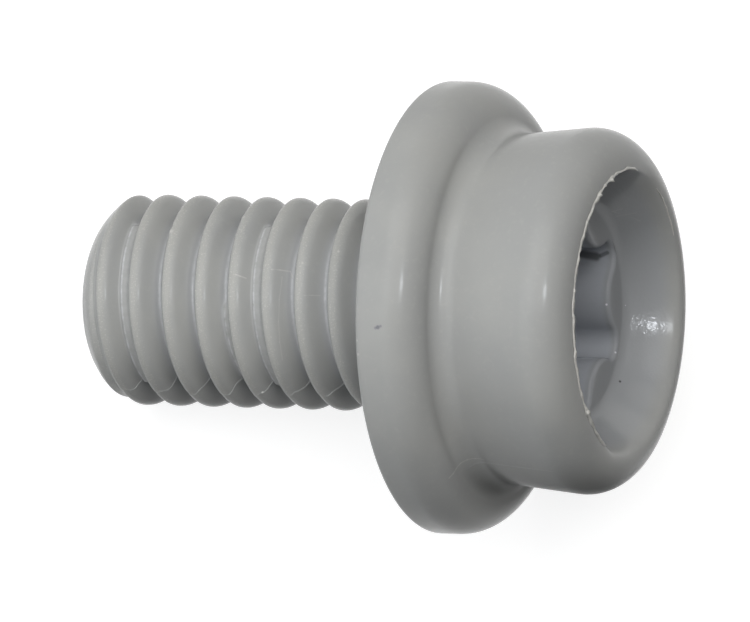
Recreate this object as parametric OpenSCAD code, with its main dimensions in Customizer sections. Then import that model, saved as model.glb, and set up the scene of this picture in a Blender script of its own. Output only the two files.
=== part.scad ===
/* [Thread] */
// thread size across the crests, millimetres
thread_d = 5.9; // [5:0.1:7]
// distance from one crest to the next
thread_pitch = 1; // [0.95:0.05:1.5]
// depth of the thread groove below the crests
thread_depth = 0.6; // [0.4:0.01:0.62]
// width of the flat land left along each crest
crest_land = 0.26; // [0.1:0.01:0.32]
// angle between the two flanks of the groove, degrees
flank_angle = 56; // [50:1:58]
// turn of the thread about the axis, degrees
thread_turn = 248; // [0:1:359]

/* [Shank] */
// length of the shank below the flange
shank_length = 10; // [8:0.5:24]
// chamfer at the tip, along and across the axis alike
tip_chamfer = 0.8; // [0.5:0.05:1]
// height of the rounded tip edge over a straight chamfer
tip_bulge = 0.064; // [0:0.002:0.12]
// length of the plain neck between the thread and the flange
neck_length = 0.5; // [0.3:0.05:1.5]
// height of the plain neck over the crests
neck_step = 0.05; // [0.02:0.01:0.2]
// part of the last turn over which the thread runs out, degrees
thread_runout = 150; // [60:10:300]

/* [Flange] */
// diameter of the flange
flange_d = 12.5; // [12:0.05:16]
// thickness of the flange
flange_t = 1.86; // [1.6:0.02:2.6]
// round on the flange edge beside the head
flange_round = 1.08; // [0.6:0.02:1.3]
// small round on the flange edge at the bearing face
bearing_round = 0.16; // [0.06:0.02:0.3]

/* [Head] */
// diameter of the head where its wall would meet the flange
head_d = 9.58; // [9.4:0.02:10]
// height of the head end above the bearing face
head_h = 5.52; // [5:0.02:7]
// outward slope of the head wall, degrees
head_flare = 5.9; // [2:0.1:8]
// round on the outer edge of the head end
head_round = 1.08; // [0.6:0.02:1.1]
// hollow fillet between the head wall and the flange
head_fillet = 0.56; // [0.3:0.02:0.7]

/* [Funnel mouth] */
// diameter of the funnel at the head end
funnel_d = 7.84; // [7:0.02:7.92]
// diameter of the flat ring around the socket
funnel_floor_d = 6.08; // [5.9:0.02:6.6]
// depth of the flat ring below the head end
funnel_depth = 1.38; // [1:0.02:1.8]
// hollow round between the flat ring and the funnel wall
funnel_fillet = 0.4; // [0.2:0.05:0.7]

/* [Six-lobe socket] */
// size across two opposite lobes
socket_a = 5.55; // [5.3:0.05:5.7]
// size across two opposite ribs
socket_b = 3.9; // [3.8:0.05:4.05]
// radius at the end of each lobe
lobe_round = 0.45; // [0.38:0.01:0.5]
// depth of the socket below the flat ring
socket_depth = 2.6; // [1.6:0.1:3]
// turn of the socket about the axis, degrees
socket_turn = 38.5; // [0:0.5:60]

/* [Hidden] */
// fineness of the turned surfaces, straight thread steps in a turn and steps along a rounded edge
$fn = 96;
thread_steps = 36;
arc_steps = 10;

// radii of the thread, the neck, the tip and the flange
thread_r = thread_d / 2;
root_r = thread_r - thread_depth;
neck_r = thread_r + neck_step;
tip_r = thread_r - tip_chamfer;
flange_r = flange_d / 2;

// height of the flat ring around the socket
floor_h = head_h - funnel_depth;

// points along an arc about c from angle a0 to angle a1
function arc(c, r, a0, a1, n = arc_steps) =
    [for (i = [0:n]) let (a = a0 + (a1 - a0) * i / n) c + r * [cos(a), sin(a)]];

// round on the flange edge
edge_c = [flange_r - flange_round, flange_t - flange_round];

// hollow fillet that touches the head wall and either the flange round or its flat front
wall_slope = tan(head_flare);
wall_long = 1 / cos(head_flare);
fillet_gap = head_d / 2 + head_fillet * wall_long - edge_c[0];
fillet_b = fillet_gap * wall_slope + flange_round;
fillet_e = pow(fillet_gap, 2) + pow(flange_round, 2) - pow(flange_round + head_fillet, 2);
fillet_on_flat = fillet_gap + wall_slope * head_fillet <= 0;
fillet_up = fillet_on_flat
    ? head_fillet
    : (sqrt(pow(fillet_b, 2) - pow(wall_long, 2) * fillet_e) - fillet_b) / pow(wall_long, 2);
fillet_c = [edge_c[0] + fillet_gap + wall_slope * fillet_up, flange_t + fillet_up];
edge_end = fillet_on_flat ? 90 : atan2(fillet_c[1] - edge_c[1], fillet_c[0] - edge_c[0]);

// round at the head end that touches the sloping wall
crown_h = head_h - head_round;
crown_c = [head_d / 2 + wall_slope * (crown_h - flange_t) - head_round * wall_long, crown_h];

// mouth of the funnel, kept inside the round of the head end
funnel_r = min(funnel_d / 2, crown_c[0] - 0.02);

// hollow round at the foot of the funnel wall
funnel_lean = atan2(funnel_r - funnel_floor_d / 2, funnel_depth);
foot_c = [funnel_floor_d / 2 - funnel_fillet * tan(45 - funnel_lean / 2), floor_h + funnel_fillet];

// rounded edge of the tip, radius against height
function tip_edge(t) =
    let (out = 4 * tip_bulge * t * (1 - t) / sqrt(2))
        [tip_r + tip_chamfer * t + out, tip_chamfer * t - out - shank_length];

// half section of the turned body, radius against height above the bearing face
section = concat(
    [[0, -shank_length]],
    [for (i = [0:6]) tip_edge(i / 6)],
    [[thread_r, -neck_length - neck_step], [neck_r, -neck_length], [neck_r, 0]],
    arc([flange_r - bearing_round, bearing_round], bearing_round, -90, 0, 4),
    arc(edge_c, flange_round, 0, edge_end),
    arc(fillet_c, head_fillet, edge_end + 180, 180 - head_flare),
    arc(crown_c, head_round, -head_flare, 90),
    [[funnel_r, head_h]],
    arc(foot_c, funnel_fillet, -funnel_lean, -90),
    [[0, floor_h]]
);

// section of the thread groove, height against radius, cut a little past the crests
flank_slope = tan(flank_angle / 2);
groove_r = thread_r + 0.04;
groove_half = thread_pitch / 2 - crest_land / 2 + 0.04 * flank_slope;
function groove(root) =
    let (foot = max(0.02, groove_half - (groove_r - root) * flank_slope))
        [[-groove_half, groove_r], [-foot, root], [foot, root], [groove_half, groove_r]];

// right-hand helical cutter from below the tip, which rises out of the shank before the neck
module thread_cutter() {
    low = -thread_pitch * (ceil(shank_length / thread_pitch) + 1.5);
    turns = (-neck_length - neck_step - low) / thread_pitch - 0.5;
    count = floor(turns * thread_steps);
    fade = thread_runout / 360 * thread_steps;
    points = [
        for (j = [0:count])
            let (
                a = 360 * j / thread_steps,
                z = low + thread_pitch * j / thread_steps,
                rise = max(0, (j - count + fade) / fade),
                root = root_r + (thread_depth + 0.02) * rise
            )
                for (g = groove(root)) [g[1] * cos(a), g[1] * sin(a), z + g[0]]
    ];
    sides = [
        for (j = [0:count - 1])
            for (i = [0:3])
                let (p = j * 4 + i, q = j * 4 + (i + 1) % 4)
                    each [[p, q + 4, q], [p, p + 4, q + 4]]
    ];
    ends = [[0, 1, 2, 3], [for (i = [3:-1:0]) count * 4 + i]];
    rotate(thread_turn)
        polyhedron(points, concat(sides, ends), convexity = 10);
}

// six-lobe outline of round lobes and round ribs that touch each other
lobe_r = socket_a / 2 - lobe_round;
rib_top = socket_b / 2;
rib_round = (pow(lobe_r, 2) + pow(rib_top, 2) - sqrt(3) * lobe_r * rib_top - pow(lobe_round, 2))
    / (2 * lobe_round - socket_b + sqrt(3) * lobe_r);
rib_r = rib_top + rib_round;
touch = asin(rib_r / 2 / (lobe_round + rib_round));
lobe_outline = [
    for (a = [0:60:300])
        each concat(
            arc(lobe_r * [cos(a), sin(a)], lobe_round, a - touch, a + touch),
            arc(rib_r * [cos(a + 30), sin(a + 30)], rib_round, a + 180 + touch, a + 240 - touch)
        )
];

// driving socket cut down from the flat ring
module socket() {
    translate([0, 0, floor_h - socket_depth])
        rotate(socket_turn)
            linear_extrude(socket_depth + 0.5)
                polygon(lobe_outline);
}

// the screw lies on its flange edge and on the last full crest near the tip
rest_turns = thread_turn / 360;
rest_crest = thread_pitch * (ceil((tip_chamfer - shank_length) / thread_pitch + rest_turns) - rest_turns);
rest_s = rest_crest - crest_land / 2;
rest_run = bearing_round - rest_s;
rest_rise = flange_r - bearing_round - thread_r;
lean = atan2(rest_rise, rest_run) + asin(bearing_round / norm([rest_run, rest_rise]));
lift = thread_r * cos(lean) - rest_s * sin(lean);

// reach of the lying screw towards the head end and towards the tip
head_reach = crown_c[1] * cos(lean) + crown_c[0] * sin(lean) + head_round;
tip_reach = shank_length * cos(lean) + tip_r * sin(lean);

// one moulded piece: threaded shank, flange and head with its driving socket
module screw() {
    color([0.67, 0.67, 0.66])
        translate([(tip_reach - head_reach) / 2, 0, lift])
            rotate([0, 90 - lean, 0])
                difference() {
                    rotate_extrude()
                        polygon(section);
                    thread_cutter();
                    socket();
                }
}

screw();
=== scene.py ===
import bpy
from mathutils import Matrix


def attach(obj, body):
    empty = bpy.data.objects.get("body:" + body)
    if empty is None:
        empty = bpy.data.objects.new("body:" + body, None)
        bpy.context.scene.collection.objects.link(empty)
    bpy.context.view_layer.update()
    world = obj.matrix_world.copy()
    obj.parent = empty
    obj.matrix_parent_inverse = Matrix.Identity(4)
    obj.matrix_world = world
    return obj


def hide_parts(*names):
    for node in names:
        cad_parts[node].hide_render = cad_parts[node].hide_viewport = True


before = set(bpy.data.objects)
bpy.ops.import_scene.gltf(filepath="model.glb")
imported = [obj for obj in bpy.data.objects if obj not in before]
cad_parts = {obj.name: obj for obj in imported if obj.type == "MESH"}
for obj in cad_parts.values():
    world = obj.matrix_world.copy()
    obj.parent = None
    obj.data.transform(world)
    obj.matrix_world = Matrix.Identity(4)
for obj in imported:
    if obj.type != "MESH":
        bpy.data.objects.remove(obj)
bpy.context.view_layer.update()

import math
import bpy
import bmesh
import numpy as np
from mathutils import Matrix, Vector

MM = 0.001
rng = np.random.default_rng(7)

# Sizes of the screw in millimetres and degrees, as in the solids
THREAD_R = 2.95
PITCH = 1.0
THREAD_TURN = 248.0
RUNOUT = 150.0
CREST_LAND = 0.26
SHANK_LENGTH = 10.0
TIP_CHAMFER = 0.8
TIP_BULGE = 0.064
NECK_LENGTH = 0.5
NECK_STEP = 0.05
FLANGE_R = 6.25
SOLID_FLANGE_T = 1.86
FLANGE_ROUND = 1.08
BEARING_ROUND = 0.16
SOLID_HEAD_R = 4.79
HEAD_H = 5.52
HEAD_FLARE = 5.9
HEAD_ROUND = 1.08
HEAD_FILLET = 0.56
FUNNEL_R = 3.92
FUNNEL_FLOOR_R = 3.04
FUNNEL_DEPTH = 1.38
FUNNEL_FILLET = 0.4
SOCKET_A = 5.55
SOCKET_B = 3.9
LOBE_ROUND = 0.45
SOCKET_DEPTH = 2.6
SOCKET_TURN = 38.5

# The flange's front sits a little nearer the bearing face than in the solids, and the head wall goes on to it
WALL_SLOPE = math.tan(math.radians(HEAD_FLARE))
WALL_LONG = 1 / math.cos(math.radians(HEAD_FLARE))
FRONT_BACK = 0.09
FLANGE_T = SOLID_FLANGE_T - FRONT_BACK
HEAD_R = SOLID_HEAD_R - WALL_SLOPE * FRONT_BACK

NECK_R = THREAD_R + NECK_STEP
TIP_R = THREAD_R - TIP_CHAMFER
FLOOR_H = HEAD_H - FUNNEL_DEPTH
CROWN_H = HEAD_H - HEAD_ROUND
CROWN = (HEAD_R + WALL_SLOPE * (CROWN_H - FLANGE_T) - HEAD_ROUND * WALL_LONG, CROWN_H)

# How the screw lies: on its flange edge and on the last full crest near the tip
rest_turns = THREAD_TURN / 360
rest_crest = math.ceil((TIP_CHAMFER - SHANK_LENGTH) / PITCH + rest_turns) - rest_turns
rest_s = PITCH * rest_crest - CREST_LAND / 2
rest_run = BEARING_ROUND - rest_s
rest_rise = FLANGE_R - BEARING_ROUND - THREAD_R
LEAN = math.atan2(rest_rise, rest_run) + math.asin(BEARING_ROUND / math.hypot(rest_run, rest_rise))
lift = THREAD_R * math.cos(LEAN) - rest_s * math.sin(LEAN)
head_reach = CROWN[1] * math.cos(LEAN) + CROWN[0] * math.sin(LEAN) + HEAD_ROUND
tip_reach = SHANK_LENGTH * math.cos(LEAN) + TIP_R * math.sin(LEAN)

# Middle of the bearing face, direction of the axis and direction of angle zero
ORIGIN = np.array([(tip_reach - head_reach) / 2, 0, lift])
AXIS = np.array([math.cos(LEAN), 0, math.sin(LEAN)])
SIDE = np.array([math.sin(LEAN), 0, -math.cos(LEAN)])


def placed(s, r, b):
    """Points at height s, radius r and angle b in degrees, in metres in the row frame."""
    s, r, b = np.broadcast_arrays(s, r, np.radians(b))
    p = ORIGIN + (r * np.cos(b))[..., None] * SIDE + s[..., None] * AXIS
    p[..., 1] += r * np.sin(b)
    return p * MM


def smooth(a, b, x):
    """Smooth step from 0 at a to 1 at b."""
    t = np.clip((x - a) / (b - a), 0, 1)
    return t * t * (3 - 2 * t)


def soft_min(a, b, k):
    """Smaller of a and b, rounded over where they are within k of each other."""
    h = np.clip(0.5 + 0.5 * (b - a) / k, 0, 1)
    return b + (a - b) * h - k * h * (1 - h)


def arc(centre, radius, a0, a1, n):
    """Points in n steps along an arc from angle a0 to angle a1."""
    turns = np.radians(np.linspace(a0, a1, n + 1))
    return [(centre[0] + radius * math.cos(a), centre[1] + radius * math.sin(a)) for a in turns]


def line(p, q, n):
    """Points between p and q, without the two ends."""
    return [(p[0] + (q[0] - p[0]) * i / n, p[1] + (q[1] - p[1]) * i / n) for i in range(1, n)]


# Columns round the axis, closer together at the two mould lines
SEAM = 241.0
EVEN_COLUMNS = 220
cluster = np.array([-1.0, -0.5, -0.22, -0.07, 0.07, 0.22, 0.5, 1.0])
near_seam = np.concatenate([(SEAM + cluster) % 360, (SEAM + 180 + cluster) % 360])
even = np.arange(EVEN_COLUMNS) * 360 / EVEN_COLUMNS
even = even[[np.min(np.abs((b - near_seam + 180) % 360 - 180)) > 0.5 for b in even]]
BETA = np.sort(np.concatenate([even, near_seam]))
N = len(BETA)

# Marks of the mould: its lower half's offset across and along the axis, the seam's ridge and its wander
MOULD_SHIFT = 0.008
MOULD_STEP = 0.018
RIDGE_HIGH = 0.002
RIDGE_WIDE = 0.03
SEAM_WANDERS = 5


def lower_half(b):
    """1 on the lower half of the mould and 0 on the upper one."""
    return (((b - SEAM) % 360) < 180).astype(float)


def moulded(r, b, amount=1.0):
    """Radius and angle with the lower mould half a hair to one side and a fine ridge along the seam."""
    turn = np.radians(b)
    off = np.radians((b - SEAM + 90) % 180 - 90) * np.maximum(r, 0.5)
    r = r + RIDGE_HIGH * amount * np.exp(-(off / RIDGE_WIDE) ** 2)
    shift = MOULD_SHIFT * amount * lower_half(b)
    x = r * np.cos(turn) + shift * math.cos(math.radians(SEAM))
    y = r * np.sin(turn) + shift * math.sin(math.radians(SEAM))
    return np.hypot(x, y), np.degrees(np.arctan2(y, x)) % 360


LOWER = lower_half(BETA)

# Thread section: a wide round shoulder towards the head, a steep flank towards the tip and a small round root
CREST_R = THREAD_R - 0.02
GROOVE_DEPTH = 0.6
ROOT_ROUND = 0.07
ROOT_AT = 0.62
# Round of the crest and slope of the flank on each side of it
HEAD_SIDE = (0.36, math.radians(58))
TIP_SIDE = (0.12, math.radians(68))


def flank(g, crest_round, slope):
    """Depth below the crest at a distance g from its middle, on one side of it."""
    sin, cos, tan = math.sin(slope), math.cos(slope), math.tan(slope)
    straight = (GROOVE_DEPTH - (crest_round + ROOT_ROUND) * (1 - cos)) / tan
    width = crest_round * sin + straight + ROOT_ROUND * sin
    if g < crest_round * sin:
        return crest_round - math.sqrt(crest_round ** 2 - g ** 2)
    if g < width - ROOT_ROUND * sin:
        return crest_round * (1 - cos) + (g - crest_round * sin) * tan
    if g < width:
        return GROOVE_DEPTH - ROOT_ROUND + math.sqrt(ROOT_ROUND ** 2 - (width - g) ** 2)
    return GROOVE_DEPTH


def drop(f):
    """Depth below the crest at a share f of the way from one crest to the next."""
    return flank(f, *HEAD_SIDE) if f < ROOT_AT else flank(1 - f, *TIP_SIDE)


# Rows across one turn, closer together at the root and on the crest
FRACTIONS = [0, 0.02, 0.045, 0.07, 0.10, 0.13, 0.16, 0.19, 0.22, 0.25, 0.28, 0.33, 0.38, 0.43, 0.48,
             0.525, 0.555, 0.572, 0.588, 0.604, 0.613, 0.629, 0.638, 0.652, 0.668, 0.684, 0.70, 0.72,
             0.75, 0.79, 0.83, 0.865, 0.89, 0.91, 0.93, 0.95, 0.965, 0.98, 0.99]
# Turns of the thread, height of the crest of turn 0 at angle zero, ends of the rows and slope up to the neck
TURNS = range(-12, 2)
CREST_0 = -PITCH * THREAD_TURN / 360 + 0.03
THREAD_LOW = -SHANK_LENGTH + 0.1
THREAD_HIGH = -0.3
COLLAR_SLOPE = 3

# Raised strips left in some grooves, one nearly filled, and the degrees over which a strip rises and stops
FILLED_GROOVE = -10
STRIP_RISES = 14
STRIP_STOPS = 2
# Shares of the pitch: rise at a strip's start, fall at its end, and how far the painted highlight on its rim
# reaches
STRIP_START = 0.035
STRIP_END = 0.05
STRIP_HIGHLIGHT_RIM = 0.07
# Groove, first angle, last angle, height, start and end across the groove
STRIPS = [
    (-9, 116, 243, 0.25, 0.49, 0.80),
    (-5, 114, 243, 0.25, 0.49, 0.80),
    (-6, 176, 240, 0.12, 0.53, 0.78),
    (FILLED_GROOVE, 60, 320, 0.36, 0.30, 0.86),
]

# Grooves with a painted glint along the root, and where round the axis it shows
GLINT_ROOTS = (-8, -7, -6, -4, -3, -2)
GLINT_ROOT_AT = 0.60
GLINT_ROOT_WIDE = 0.03
GLINT_ROOT_ANGLE = 174
GLINT_ROOT_LONG = 24

# Blisters on the crests: height, angle, rise, size across
BLISTERS = [(-7.40, 139.0, 0.05, 0.10), (-5.42, 127.0, 0.035, 0.08), (-6.35, 233.0, 0.02, 0.06)]

# Rounded edge of the tip: height above the end against radius, going on outwards past the crests
edge_t = np.linspace(0, 1, 41)
edge_out = 4 * TIP_BULGE * edge_t * (1 - edge_t) / math.sqrt(2)
TIP_EDGE_S = np.append(TIP_CHAMFER * edge_t - edge_out, TIP_CHAMFER + 20)
TIP_EDGE_R = np.append(TIP_R + TIP_CHAMFER * edge_t + edge_out, THREAD_R + 20)
TIP_BLEND = 0.04


def with_strips(groove, f, r, crest):
    """Radius, crest and painted highlight values with the strips of one groove added, at a share f across it;
    the strips' tops and rims take painted light.
    """
    edge = np.zeros(N)
    for strip, b0, b1, height, f0, f1 in STRIPS:
        if strip != groove:
            continue
        along = smooth(b0, b0 + STRIP_RISES, BETA) * (1 - smooth(b1 - STRIP_STOPS, b1, BETA))
        top = along * smooth(f0, f0 + STRIP_START, f) * (1 - smooth(f1 - STRIP_END, f1, f))
        strip_r = np.where(top > 0.01, CREST_R - GROOVE_DEPTH + height * top, 0)
        r = np.maximum(r + 0.4 * height * top, strip_r)
        rim_highlight = smooth(f0 + 0.01, f0 + STRIP_START, f) * (1 - smooth(f0 + STRIP_HIGHLIGHT_RIM, f0 + STRIP_HIGHLIGHT_RIM + 0.03, f))
        crest_share, edge_share = (0.97, 0.3) if groove == FILLED_GROOVE else (0.6, 1.0)
        # painted light: the strip tops take the crests' pale tone, and their rims a painted highlight
        crest = np.maximum(crest, crest_share * top)
        edge = edge_share * (0.14 * top + 0.6 * along * rim_highlight)
    return r, crest, edge


def thread_row(groove, f):
    """One row along the helix: height, radius, angle, crest and painted highlight values for each column."""
    rising = CREST_0 + (groove + f) * PITCH + PITCH * BETA / 360 + MOULD_STEP * LOWER
    s = rising.clip(THREAD_LOW, THREAD_HIGH)
    before_neck = -NECK_LENGTH - NECK_STEP - PITCH / 2 - (rising + (0.5 - f) * PITCH)
    fade = np.clip(before_neck / (RUNOUT / 360), 0, 1)
    depth = drop(f)
    r, crest, edge = with_strips(groove, f, CREST_R - depth * fade, np.full(N, 1 - depth / GROOVE_DEPTH))
    # painted highlight: a pale line along the root stands in for the lamp's glint
    if groove in GLINT_ROOTS:
        across = math.exp(-((f - GLINT_ROOT_AT) / GLINT_ROOT_WIDE) ** 2)
        along = np.exp(-((BETA - GLINT_ROOT_ANGLE) / GLINT_ROOT_LONG) ** 2)
        edge = np.maximum(edge, 0.6 * across * along)
    r = soft_min(r, np.interp(s + SHANK_LENGTH, TIP_EDGE_S, TIP_EDGE_R), TIP_BLEND)
    for at_s, at_b, rise, wide in BLISTERS:
        r = r + rise * np.exp(-((s - at_s) / wide) ** 2 - (np.radians(BETA - at_b) * r / wide) ** 2)
    r = np.maximum(r, np.minimum(NECK_R, NECK_R + COLLAR_SLOPE * (s + NECK_LENGTH)))
    r, b = moulded(r, BETA)
    # The seam wanders a little from turn to turn
    wobble = 1.3 * np.sin(7.3 * s + 1) + 0.9 * np.sin(17.1 * s)
    b = b + np.exp(-((BETA - SEAM) / SEAM_WANDERS) ** 2) * wobble
    return s, r, b, crest, edge


# Values of the inside attribute, which is -1 on the lower half of the thread and 0 on the rest of the outside
IN_FUNNEL = 1.0
IN_SOCKET_EDGE = 1.2
IN_SOCKET = 2.0


class Shell:
    """Rings of points that are joined one after the other, with values for the material at each point:
    crest is 1 on a crest and 0 in a root, inside tells the surfaces apart, and the last value marks where
    highlights are painted on."""

    def __init__(self):
        self.verts = []
        self.faces = []
        self.crest = []
        self.inside = []
        self.edge = []
        self.last = None

    def add(self, points, crest=0.5, inside=0.0, edge=0.0):
        base = len(self.verts)
        self.verts.extend(points.reshape(-1, 3).tolist())
        n = len(self.verts) - base
        self.crest.extend(np.broadcast_to(crest, n).tolist())
        self.inside.extend(np.broadcast_to(inside, n).tolist())
        self.edge.extend(np.broadcast_to(edge, n).tolist())
        return base

    def join(self, below, above):
        for j in range(N):
            k = (j + 1) % N
            self.faces.append((below + j, below + k, above + k, above + j))

    def ring(self, s, r, b, inside=0.0):
        new = self.add(placed(s + np.zeros(N), r, b), inside=inside)
        if self.last is not None:
            self.join(self.last, new)
        self.last = new
        return new

    def cap(self, s, ring, inside=0.0):
        """Close a ring with triangles to a point on the axis."""
        pole = self.add(placed(np.array([float(s)]), 0.0, 0.0), inside=inside)
        for j in range(N):
            self.faces.append((pole, ring + (j + 1) % N, ring + j))

    def object(self, name):
        mesh = bpy.data.meshes.new(name)
        mesh.from_pydata(self.verts, [], self.faces)
        for key, values in (("crest", self.crest), ("inside", self.inside), ("edge", self.edge)):
            mesh.attributes.new(key, "FLOAT", "POINT").data.foreach_set("value", values)
        bm = bmesh.new()
        bm.from_mesh(mesh)
        bmesh.ops.remove_doubles(bm, verts=bm.verts, dist=2e-6)
        bmesh.ops.dissolve_degenerate(bm, edges=bm.edges, dist=1e-7)
        bmesh.ops.delete(bm, geom=[v for v in bm.verts if not v.link_faces], context="VERTS")
        bmesh.ops.recalc_face_normals(bm, faces=bm.faces)
        bm.to_mesh(mesh)
        bm.free()
        mesh.polygons.foreach_set("use_smooth", [True] * len(mesh.polygons))
        ob = bpy.data.objects.new(name, mesh)
        bpy.context.scene.collection.objects.link(ob)
        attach(ob, "root")
        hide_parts("screw")
        return ob


def build_shank():
    shell = Shell()
    # End face with a small round, up to where the thread rows start
    end_round = 0.14
    end = [(r, -SHANK_LENGTH) for r in (0.35, 0.8, 1.3, 1.75, 1.95)]
    end += arc((TIP_R - 0.06, -SHANK_LENGTH + end_round), end_round, -90, -40, 5)
    rings = []
    for r, s in end:
        if s < THREAD_LOW:
            rings.append(shell.ring(s, *moulded(np.full(N, r), BETA, min(1, r / TIP_R))))
    shell.cap(-SHANK_LENGTH, rings[0])
    # Rows follow the helix, so each joins the row one turn on where it comes round
    rows = [thread_row(groove, f) for groove in TURNS for f in FRACTIONS]
    s, r, b, crest, edge = [np.array(column) for column in zip(*rows)]
    inside = -np.broadcast_to(LOWER, s.shape)
    base = shell.add(placed(s, r, b), crest.ravel(), inside.ravel(), edge.ravel())
    shell.join(shell.last, base)
    for i in range(len(rows) - 1):
        for j in range(N):
            low, high = base + i * N + j, base + (i + 1) * N + j
            if j < N - 1:
                shell.faces.append((low, low + 1, high + 1, high))
            elif i + 1 + len(FRACTIONS) < len(rows):
                turn_on = base + (i + len(FRACTIONS)) * N
                shell.faces.append((low, turn_on, turn_on + N, high))
    # Plain neck that ends inside the flange
    neck_end = 0.12
    shell.last = None
    for s in (THREAD_HIGH, -0.15, neck_end):
        ring = shell.ring(s, *moulded(np.full(N, NECK_R), BETA))
    shell.cap(neck_end, ring)
    return shell.object("screw_shank")


# Rounds of the flange and the head, touching as in the solids
EDGE = (FLANGE_R - FLANGE_ROUND, FLANGE_T - FLANGE_ROUND)
fillet_gap = HEAD_R + HEAD_FILLET * WALL_LONG - EDGE[0]
fillet_b = fillet_gap * WALL_SLOPE + FLANGE_ROUND
fillet_e = fillet_gap ** 2 + FLANGE_ROUND ** 2 - (FLANGE_ROUND + HEAD_FILLET) ** 2
fillet_up = (math.sqrt(fillet_b ** 2 - WALL_LONG ** 2 * fillet_e) - fillet_b) / WALL_LONG ** 2
FILLET = (EDGE[0] + fillet_gap + WALL_SLOPE * fillet_up, FLANGE_T + fillet_up)
EDGE_END = math.degrees(math.atan2(FILLET[1] - EDGE[1], FILLET[0] - EDGE[0]))

# Funnel: slightly hollow wall, and a hollow round at its foot
FUNNEL_LEAN = math.degrees(math.atan2(FUNNEL_R - FUNNEL_FLOOR_R, FUNNEL_DEPTH))
foot_in = FUNNEL_FILLET * math.tan(math.radians(45 - FUNNEL_LEAN / 2))
FOOT = (FUNNEL_FLOOR_R - foot_in, FLOOR_H + FUNNEL_FILLET)
FOOT_ARC = arc(FOOT, FUNNEL_FILLET, -FUNNEL_LEAN, -90, 12)
WALL_HOLLOW = 0.036


def funnel_wall(s):
    """Radius of the funnel wall at height s."""
    share = min(1, (HEAD_H - s) / (HEAD_H - FOOT_ARC[0][1]))
    straight = FUNNEL_R + share * (FOOT_ARC[0][0] - FUNNEL_R)
    return straight + WALL_HOLLOW * math.sin(math.pi * share)


# Rim of the funnel: sharp between two angles, well rounded on the far side, and the degrees of the change
SHARP_FROM = 84
SHARP_TO = 246
RIM_CHANGE = 18
RIM_SOFT = 0.19
FAR = smooth(SHARP_TO, SHARP_TO + RIM_CHANGE, BETA) + 1 - smooth(SHARP_FROM - RIM_CHANGE, SHARP_FROM, BETA)

# Outer edge of the head end, and how many of its points belong to the head wall
CROWN_ARC = arc(CROWN, HEAD_ROUND, -HEAD_FLARE, 90, 30)
WALL_SHARE = 9

# Share of the mould's marks that shows on the flange and the crown
FAINT_SEAM = 0.2

# Six-lobe outline of round lobes and round ribs that touch each other
LOBE_R = SOCKET_A / 2 - LOBE_ROUND
RIB_TOP = SOCKET_B / 2
RIB_ROUND = ((LOBE_R ** 2 + RIB_TOP ** 2 - math.sqrt(3) * LOBE_R * RIB_TOP - LOBE_ROUND ** 2)
             / (2 * LOBE_ROUND - SOCKET_B + math.sqrt(3) * LOBE_R))
RIB_R = RIB_TOP + RIB_ROUND
TOUCH = math.degrees(math.asin(RIB_R / 2 / (LOBE_ROUND + RIB_ROUND)))
LOBE_STEPS = 30
SOCKET_ROUND = 0.12


def lobed(grow):
    """Radius and angle of the socket outline, widened by grow, one point for each column."""
    points = []
    for a in range(0, 360, 60):
        lobe = LOBE_R * np.array([math.cos(math.radians(a)), math.sin(math.radians(a))])
        rib = RIB_R * np.array([math.cos(math.radians(a + 30)), math.sin(math.radians(a + 30))])
        points += arc(lobe, LOBE_ROUND + grow, a - TOUCH, a + TOUCH, LOBE_STEPS)
        points += arc(rib, RIB_ROUND - grow, a + 180 + TOUCH, a + 240 - TOUCH, LOBE_STEPS)[1:-1]
    p = np.array(points + points[:1])
    step = np.hypot(*np.diff(p, axis=0).T)
    along = np.concatenate([[0], np.cumsum(step)]) / step.sum()
    want = ((BETA - SOCKET_TURN) / 360 + along[LOBE_STEPS // 2]) % 1
    x = np.interp(want, along, p[:, 0])
    y = np.interp(want, along, p[:, 1])
    return np.hypot(x, y), (np.degrees(np.arctan2(y, x)) + SOCKET_TURN) % 360


def add_outside(shell):
    """Bearing face, flange and head wall."""
    bearing = [(r, 0) for r in np.linspace(0.8, FLANGE_R - BEARING_ROUND, 14)]
    flange = arc((FLANGE_R - BEARING_ROUND, BEARING_ROUND), BEARING_ROUND, -90, 0, 8)[1:]
    flange += line((FLANGE_R, BEARING_ROUND), (FLANGE_R, EDGE[1]), 5)
    flange += arc(EDGE, FLANGE_ROUND, 0, EDGE_END, 30)
    wall = arc(FILLET, HEAD_FILLET, EDGE_END + 180, 180 - HEAD_FLARE, 24)[1:]
    wall += line(wall[-1], CROWN_ARC[0], 14) + CROWN_ARC[:WALL_SHARE]
    rings = []
    for r, s in bearing + flange:
        rings.append(shell.ring(s, *moulded(np.full(N, float(r)), BETA, FAINT_SEAM)))
    # The seam is plainest on the head wall
    for i, (r, s) in enumerate(wall):
        plainer = min(1, i / 10) * (1 - smooth(0.75, 1, i / len(wall)))
        amount = FAINT_SEAM + (1 - FAINT_SEAM) * plainer
        shell.ring(s, *moulded(np.full(N, r), BETA, amount))
    shell.cap(0, rings[0])


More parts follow.
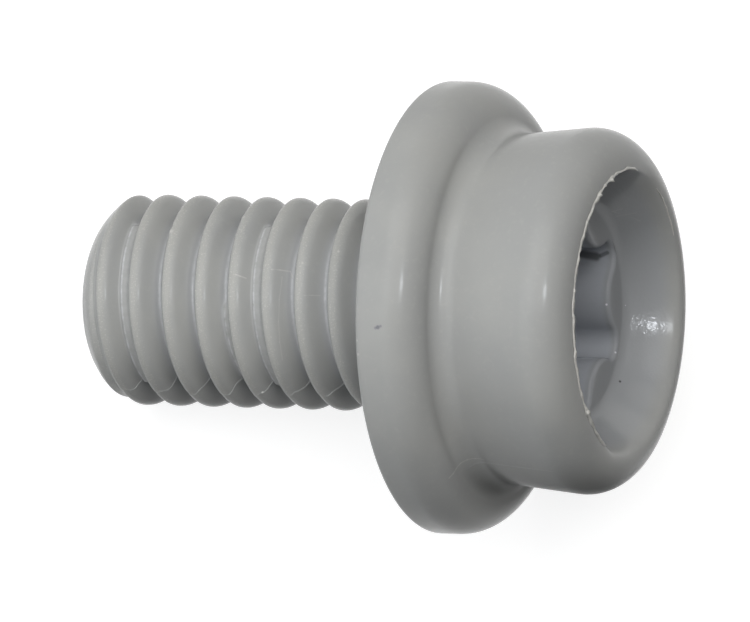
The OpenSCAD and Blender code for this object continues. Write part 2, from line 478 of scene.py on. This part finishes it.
def add_funnel(shell):
    """Crown and funnel, with a rim that is sharp towards the camera and well rounded on the far side."""
    crown = CROWN_ARC[WALL_SHARE:]
    corner = len(crown)
    rim_break = [(FUNNEL_R + 0.01, HEAD_H - 0.003), (FUNNEL_R - 0.006, HEAD_H - 0.018)]
    wall = [(funnel_wall(s), s) for _, s in line((FUNNEL_R, HEAD_H), FOOT_ARC[0], 24)]
    over = np.array(crown + rim_break + wall)
    # Rounding takes the mean of the section near each point
    way = np.concatenate([[0], np.cumsum(np.hypot(*np.diff(over, axis=0).T))])
    fine = np.arange(0, way[-1], 0.004)
    dense = np.stack([np.interp(fine, way, over[:, i]) for i in (0, 1)], axis=1)
    near = np.exp(-0.5 * ((way[:, None] - fine) / RIM_SOFT) ** 2)
    from_rim = way - way[corner]
    shift = near @ dense / near.sum(axis=1, keepdims=True) - over
    shift *= (1 - smooth(0.45, 0.75, np.abs(from_rim)))[:, None]
    for i, (r, s) in enumerate(over):
        sharp = 0.0 if i < corner else 0.3 if i < corner + len(rim_break) else 1.0
        inside = IN_FUNNEL * ((1 - FAR) * sharp + FAR * smooth(0.2, 0.7, from_rim[i]))
        r, b = moulded(r + FAR * shift[i, 0], BETA, FAINT_SEAM * max(0, 1 - i / 8))
        shell.ring(s + FAR * shift[i, 1], r, b, inside)
    for r, s in FOOT_ARC:
        shell.ring(s, np.full(N, r), BETA, IN_FUNNEL)


def add_socket(shell):
    """Flat ring, then over a small round into the socket and down to its dished bottom."""
    edge_r, edge_b = lobed(SOCKET_ROUND)
    for share in (0.3, 0.65, 1.0):
        b = BETA + share * ((edge_b - BETA + 180) % 360 - 180)
        shell.ring(FLOOR_H, FOOT[0] + share * (edge_r - FOOT[0]), b, IN_FUNNEL)
    for a in np.radians((18, 36, 54, 72, 90)):
        s = FLOOR_H - SOCKET_ROUND * (1 - math.cos(a))
        shell.ring(s, *lobed(SOCKET_ROUND * (1 - math.sin(a))), IN_SOCKET_EDGE)
    bottom = FLOOR_H - SOCKET_DEPTH
    for s in np.linspace(FLOOR_H - 0.3, bottom + SOCKET_ROUND, 9):
        shell.ring(s, *lobed(0), IN_SOCKET)
    for a in np.radians((30, 60, 90)):
        r, b = lobed(-SOCKET_ROUND * (1 - math.cos(a)))
        shell.ring(bottom + SOCKET_ROUND * (1 - math.sin(a)), r, b, IN_FUNNEL)
    dish = 0.02
    for share in (0.75, 0.5, 0.25):
        ring = shell.ring(bottom - dish * (1 - share), r * share, b, IN_FUNNEL)
    shell.cap(bottom - dish, ring, IN_FUNNEL)


def build_head():
    shell = Shell()
    add_outside(shell)
    add_funnel(shell)
    add_socket(shell)
    return shell.object("screw_head")


def wander(n, length):
    """Smooth random line of n values about zero."""
    raw = rng.normal(size=n + 6 * length)
    k = np.exp(-0.5 * (np.arange(-3 * length, 3 * length + 1) / length) ** 2)
    out = np.convolve(raw, k / np.sqrt((k ** 2).sum()), "same")
    return out[3 * length:3 * length + n]


# Lips of flash: points to the degree, degrees over which the ends taper, width and how much it varies
LIP_POINTS = 6
LIP_TAPER = 4
LIP_WIDE = 0.044
LIP_VARIES = 0.012


def build_lip(name, b0, b1, height, burrs=(), sink=0.0):
    """Thin ragged lip of flash that stands on the rim of the funnel, sunk where the rim is rounded."""
    n = int((b1 - b0) * LIP_POINTS)
    b = np.linspace(b0, b1, n)
    ends = smooth(b0, b0 + LIP_TAPER, b) * (1 - smooth(b1 - LIP_TAPER, b1, b))
    h = height * (1 + 0.30 * wander(n, 9) + 0.12 * wander(n, 3)).clip(0.3, 2)
    for at, size, wide in burrs:
        h = h + size * np.exp(-((b - at) / wide) ** 2)
    h = h * ends + 0.004
    w = (LIP_WIDE + LIP_VARIES * wander(n, 7)).clip(0.015, 0.07) * (0.3 + 0.7 * ends)
    tilt = 0.3 * wander(n, 10) - 0.2
    half_turn = math.radians((90 - FUNNEL_LEAN) / 2)
    base_s = HEAD_H - sink * math.cos(half_turn)
    base_r = FUNNEL_R + sink * math.sin(half_turn)
    inner_r = base_r - 0.012
    rows = [
        placed(base_s - 0.03, inner_r, b),
        placed(base_s + 0.6 * h, inner_r + tilt * 0.5 * h, b),
        placed(base_s + h, base_r + tilt * h, b),
        placed(base_s + 0.6 * h, base_r + w + tilt * 0.5 * h, b),
        placed(base_s - 0.02, base_r + 1.6 * w, b),
    ]
    shell = Shell()
    bases = [shell.add(p, 1.0) for p in rows]
    for p, q in zip(bases, bases[1:] + bases[:1]):
        for i in range(n - 1):
            shell.faces.append((p + i, p + i + 1, q + i + 1, q + i))
    shell.faces.append(tuple(bases))
    shell.faces.append(tuple(p + n - 1 for p in reversed(bases)))
    return shell.object(name)


# Burrs on the near lip: angle, height, size across in degrees
BURRS = ((113, 0.05, 0.9), (126, 0.06, 0.8), (119, 0.03, 0.5), (225, 0.05, 1.0), (160, 0.02, 2))

shank = build_shank()
head = build_head()
lip = build_lip("flash_lip", SHARP_FROM, SHARP_TO + LIP_TAPER, 0.042, BURRS)
lip_far = build_lip("flash_lip_far", 33, 60, 0.02, sink=0.075)


def feed(nt, value, slot):
    """Link a socket into a slot, or set the slot to a plain value."""
    if hasattr(value, "is_output"):
        nt.links.new(value, slot)
    else:
        slot.default_value = value


def mix(nt, a, b, fac):
    """Colour mix; a, b and fac are sockets or plain values."""
    m = nt.nodes.new("ShaderNodeMix")
    m.data_type = "RGBA"
    feed(nt, fac, m.inputs[0])
    feed(nt, a, m.inputs[6])
    feed(nt, b, m.inputs[7])
    return m.outputs[2]


def maths(nt, kind, a, b, clamp=False):
    m = nt.nodes.new("ShaderNodeMath")
    m.operation = kind
    m.use_clamp = clamp
    feed(nt, a, m.inputs[0])
    feed(nt, b, m.inputs[1])
    return m.outputs[0]


def times(nt, a, b):
    return maths(nt, "MULTIPLY", a, b)


def vector(nt, kind, a, b, output="Value"):
    m = nt.nodes.new("ShaderNodeVectorMath")
    m.operation = kind
    feed(nt, a, m.inputs[0])
    feed(nt, b, m.inputs["Scale"] if kind == "SCALE" else m.inputs[1])
    return m.outputs[output]


def noise(nt, at, scale, detail=2.0, rough=0.5):
    n = nt.nodes.new("ShaderNodeTexNoise")
    n.inputs["Scale"].default_value = scale
    n.inputs["Detail"].default_value = detail
    n.inputs["Roughness"].default_value = rough
    nt.links.new(at, n.inputs["Vector"])
    return n.outputs["Fac"]


def ramp(nt, value, lo, hi):
    """Smooth step from 0 at lo to 1 at hi."""
    m = nt.nodes.new("ShaderNodeMapRange")
    m.interpolation_type = "SMOOTHSTEP"
    m.inputs[1].default_value = lo
    m.inputs[2].default_value = hi
    nt.links.new(value, m.inputs[0])
    return m.outputs[0]


def attribute(nt, name):
    n = nt.nodes.new("ShaderNodeAttribute")
    n.attribute_name = name
    return n.outputs["Fac"]


def spot(s, r, b):
    """One point in metres."""
    return placed(np.array([float(s)]), float(r), float(b))[0]


def on_thread(s, b):
    """Place on the thread's surface at height s and angle b."""
    return s, CREST_R - drop((s - CREST_0 - PITCH * b / 360) / PITCH % 1), b


def on_funnel(s, b):
    """Place on the funnel wall at height s and angle b."""
    return s, funnel_wall(s), b


def stroke(nt, at, p, q, width):
    """Mask of a fine line from p to q."""
    u = q - p
    length = float(np.linalg.norm(u))
    u = u / length
    rel = vector(nt, "SUBTRACT", at, p, "Vector")
    along = maths(nt, "MAXIMUM", vector(nt, "DOT_PRODUCT", rel, u), 0.0)
    along = maths(nt, "MINIMUM", along, length)
    off = vector(nt, "DISTANCE", rel, vector(nt, "SCALE", tuple(u), along, "Vector"))
    return ramp(nt, off, width, 0.3 * width)


# Colours of the plastic, with the painted light and painted shade laid over it
GREY_LOW = (0.372, 0.376, 0.373, 1)
GREY_HIGH = (0.402, 0.404, 0.394, 1)
MOTTLE = (0.43, 0.43, 0.415, 1)
CREST_PAINTED_LIGHT = (0.455, 0.450, 0.418, 1)
ROOT_PAINTED_LIGHT = (0.45, 0.46, 0.48, 1)
INSIDE_PAINTED_COOL_SHADE = (0.375, 0.387, 0.408, 1)
ROOT_PAINTED_SHADE = (0.25, 0.255, 0.265, 1)
SOCKET_PAINTED_LIGHT = (0.43, 0.45, 0.49, 1)
PAINTED_HIGHLIGHT_TONE = (0.62, 0.63, 0.65, 1)
CREST_PAINTED_SPARKLE = (0.58, 0.57, 0.54, 1)
UNDERSIDE_PAINTED_SHADE = (0.12, 0.122, 0.122, 1)
FLASH = (0.60, 0.59, 0.56, 1)

# Colours of the marks, among them painted light, painted glints and a painted shadow
DARK = (0.12, 0.12, 0.16, 1)
BLACK = (0.05, 0.05, 0.05, 1)
LOBE_PAINTED_SHADOW = (0.03, 0.03, 0.03, 1)
FUNNEL_PAINTED_LIGHT = (0.52, 0.53, 0.53, 1)
PALE = (0.62, 0.61, 0.59, 1)
CHALK = (0.8, 0.8, 0.78, 1)
SPARK_PAINTED_GLINT = (0.9, 0.9, 0.95, 1)

# Round marks: place as height, radius and angle, then size, strength and colour
MARKS = [
    ((0.65, FLANGE_R, 185.7), 0.060, 0.40, DARK),
    ((0.72, FLANGE_R, 185.5), 0.080, 0.62, DARK),
    ((0.80, FLANGE_R, 185.2), 0.055, 0.40, DARK),
    ((4.298, 3.139, 322.1), 0.050, 0.85, BLACK),
    (on_thread(-4.78, 240.1), 0.050, 0.90, CHALK),
    (on_thread(-7.30, 139.6), 0.085, 0.45, PALE),
    (on_thread(-5.34, 127.1), 0.060, 0.40, PALE),
    (on_thread(-2.12, 150.0), 0.050, 0.60, PALE),
    # painted light: two pale patches on the funnel's lower wall
    (on_funnel(4.80, 299.0), 1.0, 0.22, FUNNEL_PAINTED_LIGHT),
    (on_funnel(4.84, 319.0), 0.6, 0.15, FUNNEL_PAINTED_LIGHT),
    ((0.10, 6.23, 192.5), 0.06, 0.5, PALE),
    ((0.08, 6.22, 189.0), 0.05, 0.4, PALE),
    # painted glints: three tiny bright specks on the socket's edge and the funnel's foot
    ((4.05, 1.963, 5.5), 0.045, 0.9, SPARK_PAINTED_GLINT),
    ((4.105, 2.80, 336.2), 0.045, 0.8, SPARK_PAINTED_GLINT),
    ((4.186, 3.005, 3.4), 0.025, 0.7, SPARK_PAINTED_GLINT),
]

# Line where the mould parts on the flange's front: angle at height zero, and degrees to the millimetre
PARTING_ANGLE = 228.0
PARTING_LEAN = 4.7
parting = arc(EDGE, FLANGE_ROUND, 63, EDGE_END, 2)
parting += arc(FILLET, HEAD_FILLET, EDGE_END + 180, 180 - HEAD_FLARE, 4)[1:]

# Fine scratches, the parting line and a painted shadow under a lobe's edge: corner points, width, strength,
# colour
STROKES = [
    ([on_thread(-5.075, 165.0), on_thread(-4.96, 165.6), on_thread(-4.844, 165.9)], 0.030, 0.45, PALE),
    ([on_thread(-4.03, 161.5), on_thread(-3.86, 160.3), on_thread(-3.678, 158.6), on_thread(-3.60, 162.3)],
     0.028, 0.35, PALE),
    ([on_thread(-2.965, 175.6), on_thread(-2.815, 175.1), on_thread(-2.668, 174.6)], 0.022, 0.25, PALE),
    ([on_thread(-3.80, b) for b in (164, 178, 191, 203, 214)], 0.026, 0.22, PALE),
    ([on_funnel(4.33, 60.8), on_funnel(4.80, 46.2)], 0.030, 0.18, PALE),
    ([on_funnel(4.35, 55.8), on_funnel(4.79, 51.8)], 0.028, 0.16, PALE),
    ([on_funnel(4.33, 60.8), on_funnel(4.55, 58.8)], 0.028, 0.17, PALE),
    ([(s, r, PARTING_ANGLE + PARTING_LEAN * s) for r, s in parting], 0.035, 0.30, PALE),
    # painted shadow: a dark crescent under the edge of a lobe
    ([(3.15, 2.75, 34.9), (3.58, 2.72, 33.7)], 0.18, 0.68, LOBE_PAINTED_SHADOW),
    ([(3.72, 2.725, 34.3), (3.92, 2.77, 36.0)], 0.09, 0.55, LOBE_PAINTED_SHADOW),
]

# Fineness of the noise in the colour and in the bump, waves to the metre
CLOUD_SCALE = 380
MOTTLE_SCALE = 5200
SPARKLE_SCALE = 24000
WAVE_SCALE = 900
GRAIN_SCALE = 14000
CREST_GRAIN_SCALE = 9000
FUNNEL_GRAIN_SCALE = 7000
BUMP_STRENGTH = 0.16
BUMP_HIGH = 0.04

# Satin skin: specular level and its loss on the underside, roughness and how much smoother the funnel is
SPECULAR = 0.12
DULL_UNDERSIDE = 0.115
ROUGH_LOW = 0.19
ROUGH_HIGH = 0.25
SMOOTHER_INSIDE = 0.07


def underside(nt, at):
    """Mask along the underside of the head and its fillet, where the photo shows no mirrored floor."""
    s = vector(nt, "DOT_PRODUCT", vector(nt, "SUBTRACT", at, tuple(ORIGIN * MM), "Vector"), tuple(AXIS))
    across = vector(nt, "DOT_PRODUCT", at, (0, 1, 0))
    return times(nt, ramp(nt, s, 1.5 * MM, 1.9 * MM), ramp(nt, across, -3.9 * MM, -4.9 * MM))


def skin_tone(nt, at, cloud, crest, inside):
    """Cloudy grey with a fine mottle, then painted light and shade: warm pale crests, lighter cool roots,
    darker lower grooves, a cool funnel, a lighter socket, painted highlights and painted sparkle on the
    crests.
    """
    mottle = noise(nt, at, MOTTLE_SCALE, 3, 0.6)
    tone = mix(nt, GREY_LOW, GREY_HIGH, ramp(nt, cloud, 0.3, 0.7))
    tone = mix(nt, tone, MOTTLE, times(nt, ramp(nt, mottle, 0.52, 0.75), 0.35))
    # painted light: the crests are made warm and pale, as where they catch the light from above
    tone = mix(nt, tone, CREST_PAINTED_LIGHT, times(nt, ramp(nt, crest, 0.92, 1.0), 0.34))
    # painted light: the roots get a cool, lighter tone that lifts the shade in the grooves
    tone = mix(nt, tone, ROOT_PAINTED_LIGHT, times(nt, ramp(nt, crest, 0.45, 0.0), 0.6))
    # painted shade: a cool tint inside the funnel and socket
    tone = mix(nt, tone, INSIDE_PAINTED_COOL_SHADE, maths(nt, "MULTIPLY", inside, 0.8, True))
    # painted shade: the grooves on the lower half of the thread are darkened
    lower_groove_shade = times(nt, ramp(nt, inside, -0.3, -0.7), ramp(nt, crest, 0.95, 0.4))
    tone = mix(nt, tone, ROOT_PAINTED_SHADE, times(nt, lower_groove_shade, 0.45))
    # painted light: the deep socket wall is made lighter and cooler
    tone = mix(nt, tone, SOCKET_PAINTED_LIGHT, ramp(nt, inside, IN_FUNNEL, IN_SOCKET))
    # painted highlights: pale strip rims and tops, and glints along some roots
    tone = mix(nt, tone, PAINTED_HIGHLIGHT_TONE, times(nt, attribute(nt, "edge"), ramp(nt, mottle, 0.25, 0.65)))
    # painted sparkle: fine pale specks on the crests stand in for glints
    painted_sparkle = times(nt, ramp(nt, noise(nt, at, SPARKLE_SCALE, 1), 0.56, 0.72), ramp(nt, crest, 0.86, 1.0))
    return mix(nt, tone, CREST_PAINTED_SPARKLE, times(nt, painted_sparkle, 0.55))


def with_marks(nt, at, tone):
    for place, size, strength, colour in MARKS:
        near = ramp(nt, vector(nt, "DISTANCE", at, spot(*place)), size * MM, size * 0.35 * MM)
        tone = mix(nt, tone, colour, times(nt, near, strength))
    for corners, width, strength, colour in STROKES:
        for p, q in zip(corners, corners[1:]):
            mask = stroke(nt, at, spot(*p), spot(*q), width * MM)
            tone = mix(nt, tone, colour, times(nt, mask, strength))
    return tone


def skin_bump(nt, at, crest, funnel):
    """Fine grain over slow waves, with more grain on the crests and in the funnel."""
    height = maths(nt, "ADD", times(nt, noise(nt, at, GRAIN_SCALE), 0.25), noise(nt, at, WAVE_SCALE))
    crest_grain = times(nt, ramp(nt, crest, 0.75, 1.0), noise(nt, at, CREST_GRAIN_SCALE))
    height = maths(nt, "ADD", height, times(nt, crest_grain, 1.2))
    funnel_grain = times(nt, funnel, noise(nt, at, FUNNEL_GRAIN_SCALE))
    height = maths(nt, "ADD", height, times(nt, funnel_grain, 0.9))
    bump = nt.nodes.new("ShaderNodeBump")
    bump.inputs["Strength"].default_value = BUMP_STRENGTH
    bump.inputs["Distance"].default_value = BUMP_HIGH * MM
    nt.links.new(height, bump.inputs["Height"])
    return bump.outputs["Normal"]


def plastic(name, flash=0.0):
    """Grey plastic; flash is the share of pale flash in its colour."""
    m = bpy.data.materials.new(name)
    m.use_nodes = True
    nt = m.node_tree
    bsdf = nt.nodes["Principled BSDF"]
    at = nt.nodes.new("ShaderNodeTexCoord").outputs["Object"]
    crest = attribute(nt, "crest")
    inside = attribute(nt, "inside")
    funnel = ramp(nt, inside, 0.0, IN_FUNNEL)
    cloud = noise(nt, at, CLOUD_SCALE, 4)
    shade = underside(nt, at)
    # painted shade: the base colour is darkened along the underside of the head and its fillet
    tone = mix(nt, skin_tone(nt, at, cloud, crest, inside), UNDERSIDE_PAINTED_SHADE, times(nt, shade, 0.3))
    tone = with_marks(nt, at, mix(nt, tone, FLASH, flash))
    rough = nt.nodes.new("ShaderNodeMapRange")
    rough.inputs[3].default_value = ROUGH_LOW
    rough.inputs[4].default_value = ROUGH_HIGH
    nt.links.new(cloud, rough.inputs[0])
    roughness = maths(nt, "SUBTRACT", rough.outputs[0], times(nt, funnel, SMOOTHER_INSIDE))
    specular = maths(nt, "SUBTRACT", SPECULAR, times(nt, shade, DULL_UNDERSIDE))
    nt.links.new(tone, bsdf.inputs["Base Color"])
    nt.links.new(roughness, bsdf.inputs["Roughness"])
    nt.links.new(specular, bsdf.inputs["Specular IOR Level"])
    nt.links.new(skin_bump(nt, at, crest, funnel), bsdf.inputs["Normal"])
    return m


grey = plastic("grey_plastic")
pale = plastic("pale_flash", 0.85)
for ob, material in ((shank, grey), (head, grey), (lip, pale), (lip_far, pale)):
    ob.data.materials.append(material)


def diffuse(nt, shade):
    n = nt.nodes.new("ShaderNodeBsdfDiffuse")
    n.inputs["Color"].default_value = (shade, shade, shade, 1)
    return n.outputs[0]


# Floor: size in metres, depth below the solids' floor in millimetres, and its three shades
FLOOR_SIZE = 3
FLOOR_DROP = 0.07
FLOOR_GLOW = 0.80
FLOOR_SEEN = 0.42
FLOOR_DIM = 0.10


def floor_white():
    """White to the camera and in mirrored rays, with the shadow kept, and dim to all other light."""
    m = bpy.data.materials.new("floor_white")
    m.use_nodes = True
    nt = m.node_tree
    nt.nodes.clear()
    path = nt.nodes.new("ShaderNodeLightPath").outputs
    mirrored = maths(nt, "MAXIMUM", path["Is Glossy Ray"], path["Is Transmission Ray"])
    seen = maths(nt, "MAXIMUM", path["Is Camera Ray"], mirrored)
    glow = nt.nodes.new("ShaderNodeEmission")
    glow.inputs["Strength"].default_value = FLOOR_GLOW
    white = nt.nodes.new("ShaderNodeAddShader")
    nt.links.new(glow.outputs[0], white.inputs[0])
    nt.links.new(diffuse(nt, FLOOR_SEEN), white.inputs[1])
    pick = nt.nodes.new("ShaderNodeMixShader")
    nt.links.new(seen, pick.inputs[0])
    nt.links.new(diffuse(nt, FLOOR_DIM), pick.inputs[1])
    nt.links.new(white.outputs[0], pick.inputs[2])
    out = nt.nodes.new("ShaderNodeOutputMaterial")
    nt.links.new(pick.outputs[0], out.inputs[0])
    return m


# The floor lies just below the screw's lowest point
bpy.ops.mesh.primitive_plane_add(size=FLOOR_SIZE)
floor = bpy.context.object
floor.name = "floor"
floor.location.z = -FLOOR_DROP * MM
floor.data.materials.append(floor_white())

# Camera at the photo's angle, looking nearly straight down
IMAGE_W = 750
IMAGE_H = 622
YAW = math.radians(23.4)
ROLL = math.radians(1.5)
DISTANCE = 460.0
SENSOR = 36
# Pixels to the millimetre, and the pixel where the middle of the bearing face lies
SCALE = 36.2
ORIGIN_PIXEL = (443.8, 307.1)


def build_camera():
    turn = YAW - LEAN
    along = Vector((math.cos(turn), 0, -math.sin(turn)))
    across = Vector((0, 1, 0))
    back = Vector((math.sin(turn), 0, math.cos(turn)))
    right = along * math.cos(ROLL) + across * math.sin(ROLL)
    up = across * math.cos(ROLL) - along * math.sin(ROLL)
    aside = right * ((ORIGIN_PIXEL[0] - IMAGE_W / 2) / SCALE)
    above = up * ((IMAGE_H / 2 - ORIGIN_PIXEL[1]) / SCALE)
    place = (Vector(ORIGIN) - aside - above + back * DISTANCE) * MM
    data = bpy.data.cameras.new("camera")
    data.sensor_fit = "HORIZONTAL"
    data.sensor_width = SENSOR
    data.lens = SCALE * DISTANCE / IMAGE_W * SENSOR
    data.clip_start = 0.01
    camera = bpy.data.objects.new("camera", data)
    bpy.context.scene.collection.objects.link(camera)
    camera.matrix_world = Matrix((*zip(right, up, back, place), (0, 0, 0, 1)))
    bpy.context.scene.camera = camera


build_camera()


def area(name, place, size, power, colour):
    """Square light aimed at the middle of the screw; place and size in metres, power in watts."""
    data = bpy.data.lights.new(name, "AREA")
    data.energy = power
    data.color = colour
    data.size = size
    light = bpy.data.objects.new(name, data)
    bpy.context.scene.collection.objects.link(light)
    light.location = place
    aim = Vector((0, 0, 6 * MM)) - Vector(place)
    light.rotation_euler = aim.to_track_quat("-Z", "Y").to_euler()
    return light


# Light: a broad soft box above the picture's top edge, three dim fills and a dim room
COOL = (0.95, 0.98, 1.0)
area("softbox", (0.02, 0.263, 0.539), 0.6, 3.72, (1.0, 0.995, 0.975))
area("fill", (-0.30, 0, 0.52), 0.4, 0.92, COOL)
area("low_fill", (-0.587, 0, 0.125), 0.3, 0.85, (0.92, 0.96, 1.0))
area("front_fill", (0, -0.344, 0.492), 0.5, 0.20, COOL)
world = bpy.data.worlds.new("room")
bpy.context.scene.world = world
world.use_nodes = True
world.node_tree.nodes["Background"].inputs[0].default_value = (*COOL, 1)
world.node_tree.nodes["Background"].inputs[1].default_value = 0.02

# A small lamp for the highlights, which lights gloss only
lamp = area("lamp", (0.20, 0.075, 0.42), 0.018, 0.55, (0.90, 0.94, 1.0))
lamp.visible_diffuse = False

bpy.context.scene.view_settings.view_transform = "Standard"
